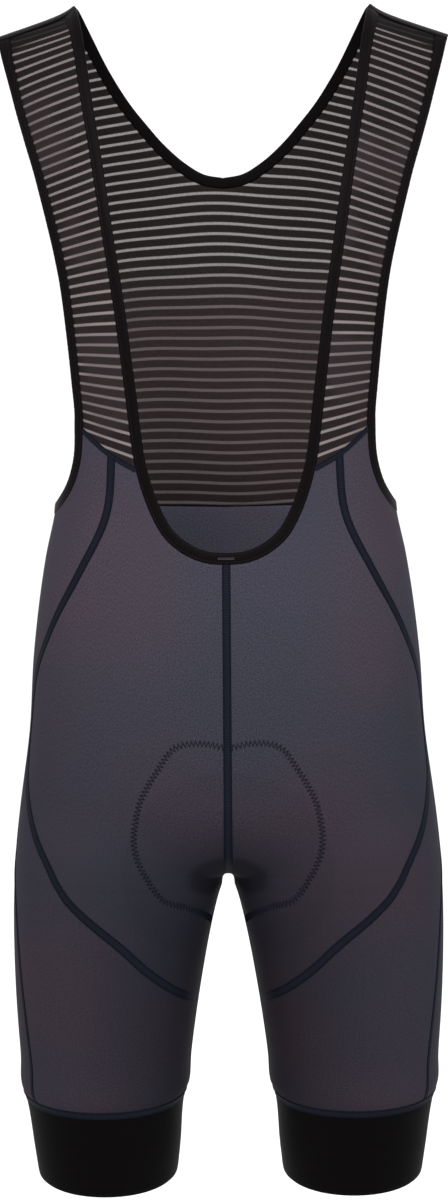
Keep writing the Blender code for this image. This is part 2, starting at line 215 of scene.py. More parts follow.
def stretchKnit(name, strength=1.0):
    # nylon and elastane warp knit: matt, faintly heathered, with a soft sheen at a low angle
    material, add, shader = newMaterial(name)
    look = knitLook
    uv = add("UVMap", uv_map="cloth")
    drift = add("TexCoord").outputs["Object"]
    scale = 1 / (look["patchSize"] * mm)
    patch = add("TexNoise", {"Vector": drift, "Scale": scale, "Detail": 1.5})
    spread = add("MapRange", (patch, *look["patchRange"]))
    base = add("Mix", {0: spread, 6: linear(look["slate"]), 7: linear(look["plum"])}, **coloured)
    fleck = add("TexNoise", {"Vector": uv, "Scale": 1 / look["fleckSize"], "Detail": 2})
    # strength scales the whole colour; above 1 it is painted light
    tones = [tone * strength for tone in look["fleckTone"]]
    tone = add("MapRange", (fleck, *look["fleckRange"], *tones))
    axes = add("SeparateXYZ", (drift,))
    height = axes.outputs["Z"]
    low, high = look["darkBelow"] * mm, look["paleAbove"] * mm
    # painted shade: darker toward the hem, and between the legs below the seat
    hem = add("MapRange", (height, low, high, look["hemShadeTone"], 1), **smooth)
    aside = add("Math", (axes.outputs["X"],), operation="ABSOLUTE")
    start, end = look["innerReach"]
    near = add("MapRange", (aside, start * mm, end * mm), **smooth)
    start, end = look["innerHeights"]
    under = add("MapRange", (height, start * mm, end * mm), **smooth)
    inner = add("Math", (near, under), **times)
    inner = add("MapRange", (inner, 0, 1, 1, look["innerShadeTone"]))
    paintedShade = add("Math", (hem, inner), **times)
    # painted shade in the crotch hollow, and a slight darkening over the seat pad
    for middle, wide, high, inside, outside, dark in (look["pad"], look["fold"]):
        size = (1 / (wide * mm), 0, 1 / (high * mm))
        place = (0, 0, -middle / high)
        spot = add("Mapping", {"Vector": drift, "Location": place, "Scale": size})
        away = add("VectorMath", (spot,), operation="LENGTH").outputs["Value"]
        shade = add("MapRange", (away, inside, outside, dark, 1), **smooth)
        paintedShade = add("Math", (paintedShade, shade), **times)
    tone = add("Math", (tone, paintedShade), **times)
    lit = add("VectorMath", {0: base.outputs[2], "Scale": tone}, **scaled)
    rows = []
    for spacing, direction in look["loops"]:
        wave = {"Vector": uv, "Scale": wavePeriod / spacing, "Distortion": look["loopWave"]}
        rows.append(add("TexWave", wave, bands_direction=direction).outputs["Fac"])
    loops = add("Math", rows, **times)
    bump = add("Bump", {"Height": loops, **look["bump"]})
    rough = add("MapRange", (loops, 0, 1, *look["roughness"]))
    wire(shader, {"Base Color": lit, "Normal": bump, "Roughness": rough, **look["surface"]})
    return material


meshLook = {
    "spacing": 8.5,  # from one sheer stripe to the next
    "stripeBlur": 0.5,
    "yarnSpacing": 1.3,  # the net's yarns, drawn coarse
    "unevenness": (0.25, 0.75, 0.9, 1.08),  # the grain's range, and how open that leaves it
    "bump": {"Strength": 0.4, "Distance": 0.15 * mm},
    "surface": {"Roughness": 0.7, "Specular IOR Level": 0.06},
    # ground and its paler yarn; open is what a stripe lets through, at the two heights given
    "back": {
        "ground": "#15110f",
        "yarn": "#211b1c",
        "stripe": "#4c4344",
        "stripeWidth": 2.4,
        "open": (0.14, 0.44),
        "heights": (-262, -195),
        "groundTone": (1.45, 0.8),
        "paintedSheen": 0.0,
    },
    "strap": {
        "ground": "#0f0c0c",
        "yarn": "#191314",
        "stripe": "#686060",
        "stripeWidth": 2.2,
        "open": (0.05, 0.3),
        "heights": (-300, -60),
        "groundTone": (1.2, 0.7),
        "paintedSheen": 0.4,
    },
    # near the shoulder the net lies over its band, and its stripes fade out
    "fade": (-20.5, -17),
    "fadeSlope": 0.38,
    "fadedStripe": 0.06,
    "doubledTone": 0.4,
    # in patches below that the stripes fade and the net is painted greyer, as a painted sheen
    "patchSize": 60,
    "patchRange": (0.46, 0.56),
    "paintedSheenHeights": (-60, -95),
    "paintedSheenColour": "#282225",
}


def stripedMesh(name, part):
    # knitted power mesh: close dark bands, with open stripes that let the light through
    material, add, shader = newMaterial(name)
    look, own = meshLook, meshLook[part]
    half = own["stripeWidth"] / 2
    uv = add("UVMap", uv_map="cloth")
    along = add("SeparateXYZ", (uv,)).outputs["Y"]
    away = add("Math", (along, look["spacing"] / 2), operation="PINGPONG")
    blur = look["stripeBlur"]
    mask = add("MapRange", (away, half - blur, half + blur, 1, 0), **smooth)
    place = add("TexCoord").outputs["Object"]
    axes = add("SeparateXYZ", (place,))
    height = axes.outputs["Z"]
    aside = add("Math", (axes.outputs["X"],), operation="ABSOLUTE")
    slope = look["fadeSlope"]
    down = add("Math", (aside, slope, height), operation="MULTIPLY_ADD")
    start, end = [slope * bodyForm["neckPoint"] * mm + drop * mm for drop in look["fade"]]
    fade = add("MapRange", (down, start, end, 1, look["fadedStripe"]))
    mask = add("Math", (mask, fade), **times)
    scale = 1 / (look["patchSize"] * mm)
    # painted sheen: noise patches that dim the stripes and turn the ground greyer
    cloud = add("TexNoise", {"Vector": place, "Scale": scale, "Detail": 1})
    patch = add("MapRange", (cloud, *look["patchRange"], 0, own["paintedSheen"]))
    start, end = look["paintedSheenHeights"]
    below = add("MapRange", (height, start * mm, end * mm))
    patch = add("Math", (patch, below), **times)
    clear = add("Math", (1, patch), operation="SUBTRACT")
    mask = add("Math", (mask, clear), **times)
    wave = {"Vector": uv, "Scale": wavePeriod / look["yarnSpacing"], "Distortion": 0.3}
    yarn = add("TexWave", wave, bands_direction="X")
    grain = add("TexNoise", {"Vector": uv, "Scale": 0.35, "Detail": 2})
    base = add("Mix", {0: grain, 6: linear(own["ground"]), 7: linear(own["yarn"])}, **coloured)
    low, high = [end * mm for end in own["heights"]]
    tone = add("MapRange", (height, low, high, *own["groundTone"]))
    single = add("MapRange", (fade, 0, 1, look["doubledTone"], 1))
    tone = add("Math", (tone, single), **times)
    base = add("VectorMath", {0: base.outputs[2], "Scale": tone}, **scaled)
    paintedSheenMix = add("Mix", {0: patch, 6: base, 7: linear(look["paintedSheenColour"])}, **coloured)
    colour = add("Mix", {0: mask, 6: paintedSheenMix.outputs[2], 7: linear(own["stripe"])}, **coloured)
    opened = add("MapRange", (height, low, high, *own["open"]), **smooth)
    uneven = add("MapRange", (grain, *look["unevenness"]))
    through = add("Math", (mask, opened), **times)
    through = add("Math", (through, uneven), **times)
    alpha = add("Math", (1, through), operation="SUBTRACT")
    relief = add("Math", (yarn.outputs["Fac"], 0.4, mask), operation="MULTIPLY_ADD")
    bump = add("Bump", {"Height": relief, **look["bump"]}, invert=True)
    wire(shader, {"Base Color": colour.outputs[2], "Alpha": alpha})
    wire(shader, {"Normal": bump, **look["surface"]})
    return material


elasticLook = {
    # name, valley and rib colour, rib spacing and direction, mean roughness, gloss
    "folded": ("black folded elastic", "#050304", "#0d090b", 1.1, "DIAGONAL", 0.5, 0.03),
    "tape": ("black shoulder tape", "#040303", "#0b0809", 2.6, "Y", 0.6, 0.02),
    "gripper": ("black gripper elastic", "#040303", "#0a0808", 1.6, "X", 0.6, 0.02),
}


def ribbedElastic(name, colour, raised, spacing, direction, roughness, gloss):
    # woven elastic: black yarn over rubber, in close ribs that catch a little light
    material, add, shader = newMaterial(name)
    uv = add("UVMap", uv_map="cloth")
    wave = {"Vector": uv, "Scale": wavePeriod / spacing, "Distortion": 0.5, "Detail": 1}
    rib = add("TexWave", wave, bands_direction=direction).outputs["Fac"]
    grain = add("TexNoise", {"Vector": uv, "Scale": 0.5, "Detail": 3})
    mixed = add("Math", (rib, grain), **times)
    tone = add("Mix", {0: mixed, 6: linear(colour), 7: linear(raised)}, **coloured)
    bump = add("Bump", {"Height": rib, "Strength": 0.35, "Distance": 0.2 * mm})
    rough = add("MapRange", (grain, 0, 1, roughness - 0.08, roughness + 0.08))
    wire(shader, {"Base Color": tone.outputs[2], "Normal": bump})
    wire(shader, {"Roughness": rough, "Specular IOR Level": gloss})
    return material


threadLook = {
    "needle": "#0c0e17",  # the two outer rows
    "cover": "#13161d",  # the looped thread between them
    "pitch": 2.1,
    "coverHalf": 1.7,
    "bump": {"Strength": 0.5, "Distance": 0.25 * mm},
    "surface": {"Roughness": 0.55, "Specular IOR Level": 0.02},
}


def flatlockThread():
    # textured polyester cover thread: a ladder of loops between two dark needle rows
    material, add, shader = newMaterial("navy flatlock thread")
    look = threadLook
    half = look["coverHalf"]
    uv = add("UVMap", uv_map="cloth")
    across = add("SeparateXYZ", (uv,)).outputs["X"]
    aside = add("Math", (across,), operation="ABSOLUTE")
    inside = add("MapRange", (aside, half - 0.4, half + 0.4, 1, 0), **smooth)
    wave = {"Vector": uv, "Scale": wavePeriod / look["pitch"], "Distortion": 0.8, "Detail": 1}
    ladder = add("TexWave", wave, bands_direction="Y").outputs["Fac"]
    share = add("MapRange", (ladder, 0, 1, 0.35, 1))
    amount = add("Math", (share, inside), **times)
    needle, cover = linear(look["needle"]), linear(look["cover"])
    tone = add("Mix", {0: amount, 6: needle, 7: cover}, **coloured)
    bump = add("Bump", {"Height": ladder, **look["bump"]})
    wire(shader, {"Base Color": tone.outputs[2], "Normal": bump, **look["surface"]})
    return material


sewingLook = {
    # name, colour, roughness
    "topstitch": ("black sewing thread", "#171214", 0.6),
    "tack": ("grey sewing thread", "#2f2f36", 0.6),
    "zigzag": ("navy zigzag thread", "#0c0e17", 0.7),
}


def sewingThread(name, colour, roughness):
    # spun polyester thread: two plies whose twist breaks up the light
    material, add, shader = newMaterial(name)
    place = add("TexCoord").outputs["Object"]
    twist = add("TexNoise", {"Vector": place, "Scale": 1 / (0.8 * mm), "Detail": 1})
    tone = add("MapRange", (twist, 0, 1, 0.7, 1.35))
    lit = add("VectorMath", {0: linear(colour)[:3], "Scale": tone}, **scaled)
    wire(shader, {"Base Color": lit, "Roughness": roughness, "Specular IOR Level": 0.04})
    return material


# the form that the cloth is stretched over

bodyForm = {
    # run, drop, half breadth, depth at the front, the side and the back
    "body": (
        (0, 0, 205, 12, 12, 12),
        (25, 5, 200, -12, 12, 37),
        (50, 19, 193, -33, 12, 58),
        (90, 52, 182, -56, 11, 82),
        (150, 108, 172, -80, 9, 103),
        (220, 176, 165, -97, 7, 113),
        (300, 256, 152, -100, 5, 104),
        (380, 336, 141, -95, 2, 90),
        (445, 401, 138, -92, 0, 86),
        (490, 446, 147, -94, 0, 95),
        (570, 526, 158, -97, 2, 113),
        (630, 586, 162, -97, 3, 120),
        (690, 646, 170, -96, 3, 114),
        (750, 706, 176, -95, 2, 100),
    ),
    # run, drop, inner and outer side, depth at the front, the middle and the back
    "leg": (
        (680, 636, -5, 169, -94, 0, 105),
        (750, 706, -3, 175.5, -91, 0, 95),
        (776, 732, 4.5, 176.5, -90, -1, 90),
        (809, 765, 13, 176.5, -88, -3, 85),
        (860, 816, 24, 175, -84, -4, 77),
        (905, 861, 31.5, 172, -79, -4, 72),
        (924, 880, 34.5, 170.5, -77, -4, 70.5),
        (935, 891, 37, 168, -75, -4, 67.5),
        (979, 935, 41, 161.5, -68, -4, 61),
        (1001, 957, 44, 158, -64, -3, 58),
    ),
    "fork": 680,
    "crotch": 750,
    "cuff": 935,
    "hem": 1001,
    "bodySquareness": 0.12,
    "legSquareness": 0.03,
    "neckPoint": 118,
    "shoulderSlope": 0.33,
    "slopeReach": 340,
    "neckRise": 5,
    "neckRiseReach": 8,
    "thighFill": 10,
    "easeRun": 17,
    "easeReach": 88,
    "crotchSpread": 6,
    "crotchDrop": 5,
    "crotchReach": 25,
    "crotchClearance": 0.6,
    "clearanceRun": 25,
    "hemDip": 7.5,
    "hemDipRun": 860,
}


def smoothRow(rows, at):
    # the other columns of a table where its first column is at, on a curve through its rows
    rows = np.asarray(rows, float)
    key = rows[:, 0]
    at = np.clip(at, key[0], key[-1])
    step = np.diff(key)[:, None]
    slope = np.diff(rows, axis=0) / step
    inner = (slope[:-1] * step[1:] + slope[1:] * step[:-1]) / (step[:-1] + step[1:])
    lean = np.vstack([slope[:1], inner, slope[-1:]])
    i = np.clip(np.searchsorted(key, at, "right") - 1, 0, len(step) - 1)
    h = step[i]
    u = (at - key[i])[..., None] / h
    value = (1 + 2 * u) * (1 - u) ** 2 * rows[i] + u * (1 - u) ** 2 * h * lean[i]
    value += u * u * (3 - 2 * u) * rows[i + 1] + u * u * (u - 1) * h * lean[i + 1]
    return np.moveaxis(value, -1, 0)[1:]


def eased(u):
    u = np.clip(u, 0, 1)
    return u * u * (3 - 2 * u)


def bodyRing(run, angle):
    f = bodyForm
    drop, half, front, side, back = smoothRow(f["body"], run)
    across, along = np.sin(angle), np.cos(angle)
    depth = np.where(along > 0, side - front, back - side)
    x = half * across * (1 + f["bodySquareness"] * along**2)
    y = side - depth * along * (1 + f["bodySquareness"] * across**2)
    beyond = np.maximum(x - f["neckPoint"], 0)
    fall = f["shoulderSlope"] * beyond
    fall = fall + f["neckRise"] * (1 - np.exp(-beyond / f["neckRiseReach"]))
    return x, y, -drop - fall * eased(1 - run / f["slopeReach"])


def legRing(run, angle):
    f = bodyForm
    drop, inner, outer, front, middle, back = smoothRow(f["leg"], run)
    across, along = np.cos(2 * angle), np.sin(2 * angle)
    depth = np.where(along > 0, middle - front, back - middle)
    radius = (outer - inner) / 2
    x = inner + radius - radius * across * (1 + f["legSquareness"] * along**2)
    y = middle - depth * along * (1 + f["legSquareness"] * across**2)
    dip = np.clip((run - f["hemDipRun"]) / (f["hem"] - f["hemDipRun"]), 0, 1)
    return x, y, -drop - f["hemDip"] * dip * along


def forkedRing(run, angle):
    # the body's rings turning into the leg's between the fork and the crotch
    f = bodyForm
    body, leg = bodyRing(run, angle), legRing(run, angle)
    fork = smoothRow(f["body"], f["fork"])[0]
    depth = smoothRow(f["body"], f["crotch"])[0] - fork
    turn = np.clip((run - f["fork"]) / (f["crotch"] - f["fork"]), 0, 1) * math.pi / 2
    share = 1 - np.cos(turn)
    x = (1 - share) * body[0] + share * leg[0]
    fill = f["thighFill"] * 4 * share * (1 - share)
    y = (1 - share) * body[1] + share * leg[1] - fill * np.sin(2 * angle)
    sideShare = np.sin(angle) ** 2
    z = (-fork - depth * np.sin(turn)) * (1 - sideShare) + body[2] * sideShare
    return x, y, np.where(run <= f["fork"], body[2], np.where(run >= f["crotch"], leg[2], z))


def crotchLine():
    runs = np.linspace(bodyForm["fork"], bodyForm["crotch"], 31)
    front = forkedRing(runs, np.zeros(31))
    back = forkedRing(runs[::-1], np.full(31, math.pi))
    return np.append(front[1], back[1]), np.append(front[2], back[2])


underLine = crotchLine()


def clothForm(run, angle):
    # places in metres on the left half: a run down from the shoulders, an angle round the body
    f = bodyForm
    run, angle = np.broadcast_arrays(np.asarray(run, float), np.radians(angle))
    near = eased(1 - np.abs(run - f["crotch"]) / f["easeReach"]) * eased(3 * np.sin(angle))
    shift = f["easeRun"] * near
    shares = ((-2, 1), (-1, 4), (0, 6), (1, 4), (2, 1))
    x, y, z = sum(np.stack(forkedRing(run + n * shift, angle)) * w for n, w in shares) / 16
    fall = np.maximum(np.interp(y, *underLine) - z, 0) * (run > f["fork"])
    spread = f["crotchSpread"] * np.sqrt(1 - np.exp(-fall / f["crotchDrop"]))
    x = np.maximum(x, 0) + spread * np.exp(-((x / f["crotchReach"]) ** 2))
    x = x + f["crotchClearance"] * eased((run - f["crotch"]) / f["clearanceRun"] + 1)
    return np.stack([x, y, z], axis=-1) * mm


def placesOf(stations):
    return clothForm(stations[..., 0], stations[..., 1])


def slopesOf(stations):
    # the two directions of the form at stations: down, and round towards the back
    run, angle = stations[..., 0], stations[..., 1]
    at = clothForm(run, angle)
    turn = np.where(angle < 90, 0.25, -0.25)
    down = (clothForm(run + 0.5, angle) - at) / 0.5
    around = (clothForm(run, angle + turn) - at) / turn[..., None]
    return at, down, around


def outwardOf(stations):
    at, down, around = slopesOf(stations)
    outward = np.cross(down, around)
    return outward / np.maximum(np.linalg.norm(outward, axis=-1, keepdims=True), 1e-12)


# edges and seams, as stations of run and angle

fineness = 8  # pieces of fine net for each piece of the coarse one
edgeTables = {
    # run, angle, pieces of the stretch that ends here
    "frontNeck": (
        (26, 32.5, 0), (56, 32.7, 0), (109, 32.8, 0), (157, 31.5, 0), (203, 29.8, 0),
        (281, 27.7, 0), (348, 26.4, 0), (382, 25.6, 0), (412, 24.2, 18), (429, 22.3, 0),
        (446, 19.4, 0), (461, 15.6, 0), (472, 10.5, 0), (478, 5.2, 0), (479.5, 0, 7),
    ),
    "backNeck": (
        (12, 147.6, 0), (32, 148.0, 0), (60, 149.4, 0), (92, 152.7, 0), (115, 156.5, 6),
        (133, 160.6, 0), (151, 165.2, 0), (166, 170.2, 0), (176, 175.2, 0),
        (179, 180, 5),
    ),
    "armhole": (
        (26, 61.3, 0), (56, 64.0, 0), (102, 65.6, 0), (142, 62.5, 0), (179, 58.0, 0),
        (215, 54.2, 0), (248, 52.2, 0), (300, 52.2, 0), (344, 53.2, 0), (382, 54.4, 18),
        (408, 58.0, 0), (426, 64.5, 0), (438, 74.0, 0), (444, 84.5, 0), (445, 95, 6),
        (443, 104, 1), (435, 111, 0), (415, 117, 0), (380, 121, 0), (300, 123.5, 0),
        (215, 121.5, 0), (170, 118.2, 0), (125, 115, 12), (90, 115, 0), (56, 116, 0),
        (25, 118.5, 0), (12, 119.6, 6),
    ),
    "curvedSeam": (
        (403, 37, 0), (457, 40.5, 0), (500, 49.5, 0), (542, 62, 0), (594, 76.5, 0),
        (626, 80, 0), (660, 77.5, 0), (688, 70, 0), (716, 64, 0), (757, 58, 18),
        (798, 42, 0), (818, 34, 0), (836, 24, 0), (850, 10, 0), (854, 0, 8),
    ),
    "sideSeam": (
        (454, 95, 0), (520, 94, 0), (600, 95, 0), (680, 94, 0), (740, 86.5, 0),
        (775, 81.5, 0), (826, 77.5, 0), (880, 74, 0), (935, 72, 30),
    ),
    "waistBack": 456,
    "bindingWidth": 8.5,
    "seamGap": 0.3,
}


def lengthsAlong(points):
    # how far along a line of places each one lies
    return np.append(0, np.cumsum(np.linalg.norm(np.diff(points, axis=0), axis=1)))


def pickedAt(at, key, rows):
    # what the rows would be at other values of their key
    return np.stack([np.interp(at, key, column) for column in rows.T], axis=-1)


def evenStations(route, pieces):
    length = lengthsAlong(placesOf(route))
    return pickedAt(np.linspace(0, length[-1], pieces + 1), length, route)


def edgeStations(rows):
    # a smooth edge through the rows, as a list of its stretches
    rows = np.asarray(rows, float)
    key = lengthsAlong(placesOf(rows[:, :2]))
    table = np.column_stack([key, rows[:, :2]])
    ends = [0] + list(np.nonzero(rows[:, 2])[0])
    stretches = []
    for start, end in zip(ends, ends[1:]):
        close = smoothRow(table, np.linspace(key[start], key[end], 801)).T
        stretches.append(evenStations(close, int(rows[end, 2]) * fineness))
    return stretches


def joined(*stretches):
    return np.concatenate([stretches[0]] + [stretch[1:] for stretch in stretches[1:]])


def straight(start, end, pieces):
    share = np.linspace(0, 1, 241)[:, None]
    route = np.asarray(start) * (1 - share) + np.asarray(end) * share
    return evenStations(route, pieces * fineness)


def moved(stations, distance):
    # stations moved over the form by a distance in metres, to the left of their travel
    at, down, around = slopesOf(stations)
    outward = np.cross(down, around)
    aside = np.cross(outward, np.gradient(at, axis=0))
    aside *= np.asarray(distance)[..., None] / np.linalg.norm(aside, axis=1, keepdims=True)
    frameOf = np.stack([down, around], axis=1)
    sizes = frameOf @ frameOf.transpose(0, 2, 1)
    shares = (frameOf @ aside[:, :, None])[..., 0]
    return stations + np.linalg.solve(sizes, shares[..., None])[..., 0]


def inward(stations, distance):
    # moved, but with its ends kept on the shoulder band or on the centre of the body
    result = moved(stations, distance * mm)
    for end in (0, -1):
        kept = 1 if stations[end, 1] in (0, 180) else 0
        result[end, kept] = stations[end, kept]
    return result


def cutAt(stations, marks):
    bounds = [0, *marks, len(stations) - 1]
    return [stations[start : end + 1] for start, end in zip(bounds, bounds[1:])]


def layOut():
    t = edgeTables
    e = {}
    neckStrap, neckDip = edgeStations(t["frontNeck"])
    backStrap, backDip = edgeStations(t["backNeck"])
    arm = edgeStations(t["armhole"])
    e["neckEdge"] = joined(neckStrap, neckDip)
    e["backNeckEdge"] = joined(backStrap, backDip)
    e["armEdge"] = joined(*arm)
    reach = t["bindingWidth"] + t["seamGap"]
    e["neckStrap"], e["neckDip"] = cutAt(inward(e["neckEdge"], reach), [len(neckStrap) - 1])
    back = inward(e["backNeckEdge"], -reach)
    e["backStrap"], e["backDip"] = cutAt(back, [len(backStrap) - 1])
    marks = np.cumsum([len(stretch) - 1 for stretch in arm[:-1]])
    names = ("armFront", "armHip", "armTurn", "armBack", "armShoulder")
    e.update(zip(names, cutAt(inward(e["armEdge"], -reach), marks)))
    e["curveUpper"], e["curveLower"] = edgeStations(t["curvedSeam"])
    e["side"] = edgeStations(t["sideSeam"])[0]
    e["side"][0] = e["armHip"][-1]
    foot, waist = e["curveLower"][-1], (t["waistBack"], 180)
    crotch, cuff = bodyForm["crotch"], bodyForm["cuff"]
    for name, start, end, pieces in (
        ("diagonalInner", e["neckStrap"][-1], e["curveUpper"][0], 1),
        ("diagonalOuter", e["curveUpper"][0], e["armFront"][-1], 2),
        ("inseamUpper", (crotch, 0), foot, 5),
        ("inseamLower", foot, (cuff, 0), 4),
        ("centreFront", e["neckDip"][-1], (crotch, 0), 13),
        ("centreBack", waist, (crotch, 180), 21),
        ("waistBack", e["armTurn"][-1], waist, 8),
        ("cuffFront", (cuff, 0), e["side"][-1], 8),
        ("cuffBack", e["side"][-1], (cuff, 180), 9),
    ):
        e[name] = straight(start, end, pieces)
    return e


def patchNet(top, right, bottom, left, hold=1):
    # a net between four edges; with a higher hold, the top's and bottom's shapes fade sooner
    u = np.linspace(0, 1, len(top))[None, :, None]
    v = np.linspace(0, 1, len(left))[:, None, None]
    rows = (1 - u) * left[:, None] + u * right[:, None]
    topBow = top - (1 - u) * top[0] - u * top[-1]
    bottomBow = bottom - (1 - u) * bottom[0] - u * bottom[-1]
    return rows + (1 - v) ** hold * topBow + v**hold * bottomBow


# creases

creaseTable = (
    # run and angle of both ends, half width, depth on the wearer's left and right
    (738, 3, 716, 30, 5, 0.9, 1.1),
    (748, 6, 742, 44, 6, 1.1, 0.8),
    (762, 4, 772, 40, 6, 0.9, 1.2),
    (775, 3, 806, 26, 5, 0.6, 0.5),
    (745, 176, 722, 140, 7, 1.4, 1.2),
    (758, 172, 768, 128, 8, 1.3, 1.7),
    (776, 174, 800, 142, 6, 0.8, 0.7),
    (452, 176, 470, 128, 8, 0.9, 0.6),
    (438, 170, 446, 118, 7, 0.7, 1.0),
    (462, 60, 476, 88, 5, 0.6, 0.4),
    (470, 96, 486, 122, 6, 0.7, 0.9),
    (916, 96, 905, 128, 6, 0.7, 0.6),
    (922, 20, 910, 52, 6, 0.5, 0.6),
)
# the leg swells above its cuff, and the swelling ends at its hem
legPuff = {"depth": 1.7, "run": 925, "above": 16, "below": 7, "end": 937, "endReach": 6}


def creaseHeight(points, stations, side):
    # how far the creases raise or sink the cloth, in metres
    run = stations[..., 0]
    puff = legPuff
    reach = np.where(run < puff["run"], puff["above"], puff["below"])
    height = puff["depth"] * np.exp(-(((run - puff["run"]) / reach) ** 2))
    end = np.clip((puff["end"] - run) / puff["endReach"], 0, 1)
    height = height * (run < bodyForm["cuff"] + 1) * end
    for row in creaseTable:
        a, b = clothForm(row[0], row[1]), clothForm(row[2], row[3])
        width, depth = row[4] * mm, row[5 + side]
        share = np.clip(((points - a) @ (b - a)) / np.sum((b - a) ** 2), 0, 1)
        away = np.linalg.norm(points - a - share[..., None] * (b - a), axis=-1) / width
        # a groove with a low ridge along each side, which fades towards its far end
        shape = 0.4 * np.exp(-((away - 1.9) ** 2)) - np.exp(-(away**2))
        height = height + depth * shape * (1 - np.abs(2 * share - 1) ** 3) * np.exp(-share)
    return height * mm


def clothPlaces(stations, height=0.0, side=0):
    # places of cloth at a height in millimetres over the form, with its creases
    points = placesOf(stations)
    lift = np.asarray(height) * mm + creaseHeight(points, stations, side)
    return points + outwardOf(stations) * lift[..., None]


# making meshes


def addGrid(shape, points, uv, flip):
    # one net of faces, from a grid laid on the places
    rows, columns = points.shape[0] - 1, points.shape[1] - 1
    grid = bmesh.ops.create_grid(shape, x_segments=columns, y_segments=rows, size=1)
    layer = shape.loops.layers.uv.verify()
    spot = {}
    for vert in grid["verts"]:
        column = round((vert.co.x + 1) / 2 * columns)
        row = round((1 - vert.co.y) / 2 * rows)
        spot[vert] = uv[row, column]
        vert.co = points[row, column]
    faces = {face for vert in grid["verts"] for face in vert.link_faces}
    for face in faces:
        for loop in face.loops:
            loop[layer].uv = spot[loop.vert]
    if flip:
        bmesh.ops.reverse_faces(shape, faces=list(faces))


def netUv(points):
    # millimetres across and along a net
    across = np.linalg.norm(np.diff(points, axis=1), axis=2)
    across = np.concatenate([np.zeros((len(points), 1)), np.cumsum(across, axis=1)], axis=1)
    along = np.linalg.norm(np.diff(points, axis=0), axis=2).mean(axis=1)
    along = np.append(0, np.cumsum(along))[:, None] + 0 * across
    return np.stack([across, along], axis=-1) / mm


def newPiece(name, mesh, material):
    mesh.materials.append(material)
    mesh.shade_smooth()
    piece = newObject(name, mesh)
    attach(piece, "root")
    return piece


def finishPiece(shape, name, material, wall=None, closed=False, paintedLitInside=None):
    # an object from the nets in a bmesh, with a wall if it is a single layer
    bmesh.ops.remove_doubles(shape, verts=shape.verts, dist=0.00002)
    if closed:
        ends = [edge for edge in shape.edges if edge.is_boundary]
        bmesh.ops.holes_fill(shape, edges=ends)
        bmesh.ops.recalc_face_normals(shape, faces=shape.faces)
    mesh = bpy.data.meshes.new(name)
    shape.to_mesh(mesh)
    shape.free()
    mesh.uv_layers[0].name = "cloth"
    piece = newPiece(name, mesh, material)
    if wall:
        shell = piece.modifiers.new("wall", "SOLIDIFY")
        shell.thickness = wall * mm
        shell.offset = 0
        if paintedLitInside:
            mesh.materials.append(paintedLitInside)
            shell.material_offset = 1
            shell.use_rim = False  # the two halves meet without a ridge on the inside
    return piece


sides = (("left", 0), ("right", 1))


def mirroredPlaces(points):
    return points * (-1, 1, 1)


def onSide(points, number):
    # as they are on the wearer's left, or mirrored for the right
    return mirroredPlaces(points) if number else points


def asSheet(name):
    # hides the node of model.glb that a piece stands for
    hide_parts(name)


def pairOfPieces(name, stations, material, wall, uvOf=None, paintedLitInside=None):
    # the same cut for the wearer's left and right
    for side, number in sides:
        points = clothPlaces(stations, 0, number)
        uv = netUv(points) if uvOf is None else uvOf(points, stations)
        shape = bmesh.new()
        addGrid(shape, onSide(points, number), uv, bool(number))
        piece = finishPiece(shape, f"{name}_{side}_cloth", material, wall, paintedLitInside=paintedLitInside)
        asSheet(f"{name}_{side}")


# the shorts

shortsCut = {
    "wall": 0.9,
    # flat sizes in metres before the cloth is stretched
    "front": {"flat": (0.15, 0.43), "area": 0.0500},
    "side": {"flat": (0.145, 0.52), "area": 0.0400},
    "back": {"flat": (0.235, 0.47), "area": 0.0960},
}


def makeShorts(e, knit, seat, paintedLitInside):
    front = patchNet(
        joined(e["neckDip"][::-1], e["diagonalInner"]),
        e["curveUpper"],
        e["curveLower"][::-1],
        joined(e["centreFront"], e["inseamUpper"]),
    )
    side = patchNet(
        joined(e["diagonalOuter"], e["armHip"]),
        e["side"],
        e["cuffFront"],
        joined(e["curveUpper"], e["curveLower"], e["inseamLower"]),
        hold=5,
    )
    inseamBack = joined(e["inseamUpper"], e["inseamLower"]) + (0, 180)
    back = patchNet(
        joined(e["armTurn"], e["waistBack"]),
        joined(e["centreBack"], inseamBack),
        e["cuffBack"],
        e["side"],
    )
    wall = shortsCut["wall"]
    pairOfPieces("front_panel", front, knit, wall)
    pairOfPieces("side_panel", side, knit, wall)
    pairOfPieces("back_panel", back, seat, wall, paintedLitInside=paintedLitInside)


# the mesh top

meshCut = {
    "wall": 0.6,
    "strap": {"flat": (0.062, 0.37), "area": 0.0145},
    "back": {"flat": (0.30, 0.43), "area": 0.088},
    # where the sheer stripes run, counted in stripes: along the run in tenths of a metre,
    # and across the cloth in shares of the angle from its middle
    "strapStripes": (-9.85, 11.95, 0.115, 2.33, -3.35, 0.80),
    "backStripes": (-23.4, 11.6, -5.87, 1.42),
    "strapMiddle": 42,
    "strapShare": 20,
    "backShare": 60,
    # the stripes wander a little: how far, and over what lengths across and along
    "wander": ((0.13, 36, 95), (0.07, 15, -50)),
}


def wandering(points, stations):
    across, run = points[..., 0] / mm, stations[..., 0]
    waves = meshCut["wander"]
    return sum(size * np.sin(across / wide + run / high) for size, wide, high in waves)


